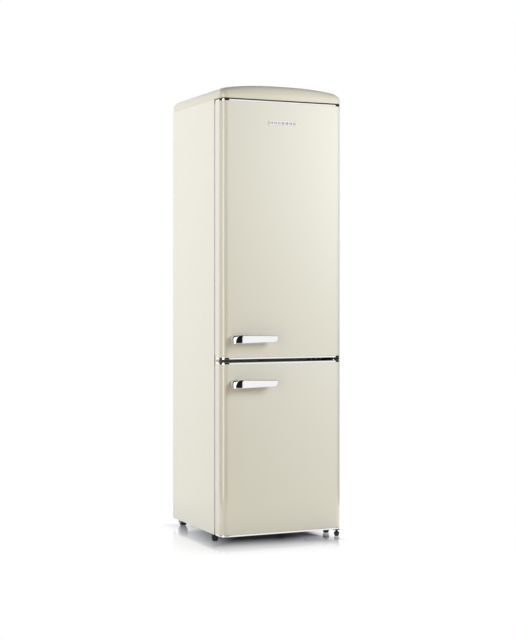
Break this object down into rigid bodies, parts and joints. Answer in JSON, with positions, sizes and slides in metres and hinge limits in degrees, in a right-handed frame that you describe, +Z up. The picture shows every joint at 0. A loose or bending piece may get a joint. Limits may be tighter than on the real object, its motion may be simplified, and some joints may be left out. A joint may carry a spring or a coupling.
{
  "type": "fridge freezer",
  "caption": "Tall free-standing retro fridge over freezer with two right-hinged doors, lever handles, bright strips, an arched cap, feet and rear rollers.",
  "frame": {"origin": "on the floor under the middle of the whole object's plan", "axes": "+Z up, the doors face -Y, +X to the right of a person facing the doors"},
  "size_m": [0.54, 0.6, 1.859],
  "materials": {
    "cream_enamel": "glossy enamel",
    "cream_moulding": "glossy moulding in the enamel's colour",
    "seal_rubber": "soft matte",
    "bright_chrome": "polished plating",
    "liner_white": "satin white",
    "clear_plastic": "clear with a faint blue cast",
    "shelf_glass": "clear toughened glass",
    "shelf_trim": "satin white",
    "lamp_white": "satin white",
    "lamp_diffuser": "frosted",
    "cold_plate": "satin",
    "insulation": "foamed, matte",
    "galvanised": "galvanised sheet",
    "hinge_steel": "black satin",
    "pin_steel": "bright",
    "foot_black": "black moulding",
    "compressor_black": "black satin paint",
    "tray_grey": "grey moulding",
    "copper": "drawn copper",
    "condenser_steel": "black enamel",
    "spacer_black": "black moulding"
  },
  "bodies": {
    "cabinet": {"side_panel_left": "cream_enamel", "side_panel_right": "cream_enamel", "front_frame": "cream_enamel", "top_cover": "cream_moulding", "fridge_liner": "liner_white", "freezer_liner": "liner_white", "glass_shelf_bottom": "shelf_glass", "glass_shelf_middle": "shelf_glass", "glass_shelf_top": "shelf_glass", "crisper_cover": "shelf_glass", "shelf_trims": "shelf_trim", "lamp_housing": "lamp_white", "lamp_cover": "lamp_diffuser", "freezer_evaporator": "cold_plate", "cabinet_foam": "insulation", "rear_panel": "galvanised", "base_plate": "galvanised", "roller_brackets": "galvanised", "top_hinge": "hinge_steel", "middle_hinge": "hinge_steel", "lower_hinge": "hinge_steel", "hinge_pins": "pin_steel", "hinge_screws": "pin_steel", "roller_axles": "pin_steel", "compressor": "compressor_black", "evaporation_tray": "tray_grey", "relay_box": "tray_grey", "discharge_tube": "copper", "filter_dryer": "copper", "condenser": "condenser_steel", "wall_spacers": "spacer_black", "mains_inlet": "spacer_black"},
    "fridge_door": {"fridge_door_skin": "cream_enamel", "fridge_door_end_caps": "cream_moulding", "fridge_door_trims": "bright_chrome", "fridge_door_foam": "insulation", "fridge_door_liner": "liner_white", "fridge_door_seal": "seal_rubber", "fridge_door_handle": "bright_chrome", "badge": "bright_chrome", "door_bin_bottom": "clear_plastic", "door_bin_middle": "clear_plastic", "door_bin_top": "clear_plastic"},
    "freezer_door": {"freezer_door_skin": "cream_enamel", "freezer_door_end_caps": "cream_moulding", "freezer_door_trims": "bright_chrome", "freezer_door_foam": "insulation", "freezer_door_liner": "liner_white", "freezer_door_seal": "seal_rubber", "freezer_door_handle": "bright_chrome"},
    "thermostat": {"thermostat_knob": "lamp_white"},
    "crisper": {"crisper_drawer": "clear_plastic"},
    "drawer_bottom": {"freezer_drawer_bottom": "clear_plastic"},
    "drawer_middle": {"freezer_drawer_middle": "clear_plastic"},
    "drawer_top": {"freezer_drawer_top": "clear_plastic"},
    "left_foot": {"foot_left": "foot_black"},
    "right_foot": {"foot_right": "foot_black"},
    "corner_foot": {"hinge_foot": "foot_black"},
    "left_roller": {"roller_left": "foot_black"},
    "right_roller": {"roller_right": "foot_black"}
  },
  "joints": [
    {"name": "fridge_door_hinge", "type": "hinge", "parent": "cabinet", "child": "fridge_door", "pos_m": [0.257, -0.241, 1.2], "axis": [0, 0, 1], "range_deg": [0, 120]},
    {"name": "freezer_door_hinge", "type": "hinge", "parent": "cabinet", "child": "freezer_door", "pos_m": [0.257, -0.241, 0.4], "axis": [0, 0, 1], "range_deg": [0, 120]},
    {"name": "thermostat_turn", "type": "hinge", "parent": "cabinet", "child": "thermostat", "pos_m": [0.19, -0.04, 1.65], "axis": [-1, 0, 0], "range_deg": [0, 300]},
    {"name": "crisper_slide", "type": "slide", "parent": "cabinet", "child": "crisper", "axis": [0, -1, 0], "range_m": [0, 0.042]},
    {"name": "drawer_bottom_slide", "type": "slide", "parent": "cabinet", "child": "drawer_bottom", "axis": [0, -1, 0], "range_m": [0, 0.036]},
    {"name": "drawer_middle_slide", "type": "slide", "parent": "cabinet", "child": "drawer_middle", "axis": [0, -1, 0], "range_m": [0, 0.036]},
    {"name": "drawer_top_slide", "type": "slide", "parent": "cabinet", "child": "drawer_top", "axis": [0, -1, 0], "range_m": [0, 0.036]},
    {"name": "left_foot_turn", "type": "hinge", "parent": "cabinet", "child": "left_foot", "pos_m": [-0.253, -0.15, 0.01], "axis": [0, 0, 1], "continuous": true},
    {"name": "right_foot_turn", "type": "hinge", "parent": "cabinet", "child": "right_foot", "pos_m": [0.253, -0.15, 0.01], "axis": [0, 0, 1], "continuous": true},
    {"name": "corner_foot_turn", "type": "hinge", "parent": "cabinet", "child": "corner_foot", "pos_m": [0.257, -0.241, 0.01], "axis": [0, 0, 1], "continuous": true},
    {"name": "left_roller_spin", "type": "hinge", "parent": "cabinet", "child": "left_roller", "pos_m": [-0.234, 0.265, 0.021], "axis": [1, 0, 0], "continuous": true},
    {"name": "right_roller_spin", "type": "hinge", "parent": "cabinet", "child": "right_roller", "pos_m": [0.234, 0.265, 0.021], "axis": [1, 0, 0], "continuous": true}
  ]
}
